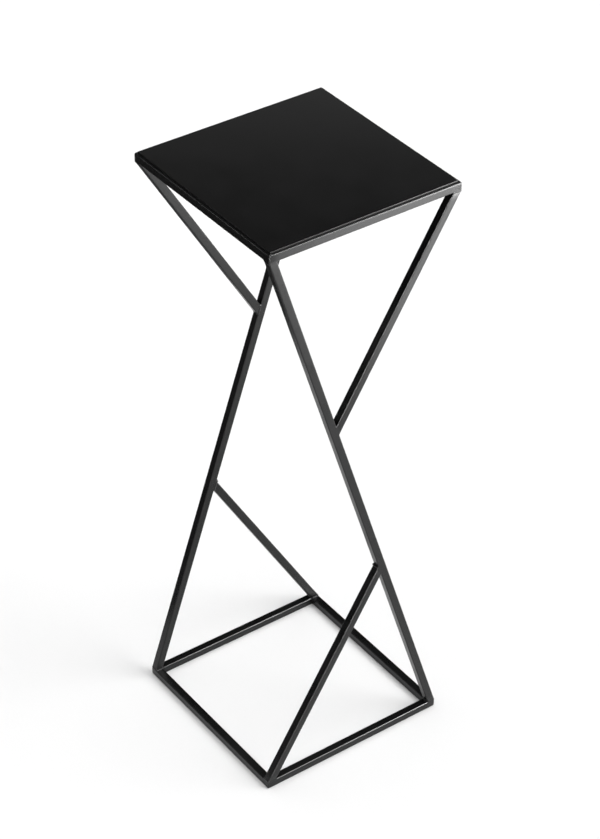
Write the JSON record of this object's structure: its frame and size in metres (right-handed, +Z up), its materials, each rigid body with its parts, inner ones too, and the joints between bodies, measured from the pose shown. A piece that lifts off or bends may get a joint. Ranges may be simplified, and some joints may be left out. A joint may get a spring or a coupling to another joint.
{
  "type": "display plinth",
  "caption": "Slim open display plinth: a square sheet-metal top on a welded frame of square tube, with a leaning diagonal and two struts in each of two opposite sides.",
  "frame": {"origin": "centre of the base frame's underside, on the floor", "axes": "+Z up, +X towards the right side and -Y towards the front; the right and left sides hold the diagonals, and the front and back are open"},
  "size_m": [0.25, 0.25, 0.75],
  "materials": {
    "plate_coating": "satin black powder coat on flat sheet steel",
    "tube_coating": "satin black powder coat on square steel tube",
    "weld_coating": "satin black powder coat over weld beads"
  },
  "bodies": {
    "root": {"top_plate": "plate_coating", "top_rail_front": "tube_coating", "top_rail_right": "tube_coating", "top_rail_back": "tube_coating", "top_rail_left": "tube_coating", "base_rail_front": "tube_coating", "base_rail_right": "tube_coating", "base_rail_back": "tube_coating", "base_rail_left": "tube_coating", "right_diagonal": "tube_coating", "right_upper_strut": "tube_coating", "right_lower_strut": "tube_coating", "left_diagonal": "tube_coating", "left_upper_strut": "tube_coating", "left_lower_strut": "tube_coating", "top_corner_welds": "weld_coating", "base_corner_welds": "weld_coating", "right_diagonal_welds": "weld_coating", "left_diagonal_welds": "weld_coating", "right_strut_welds": "weld_coating", "left_strut_welds": "weld_coating", "plate_tack_welds": "weld_coating"}
  },
  "joints": []
}
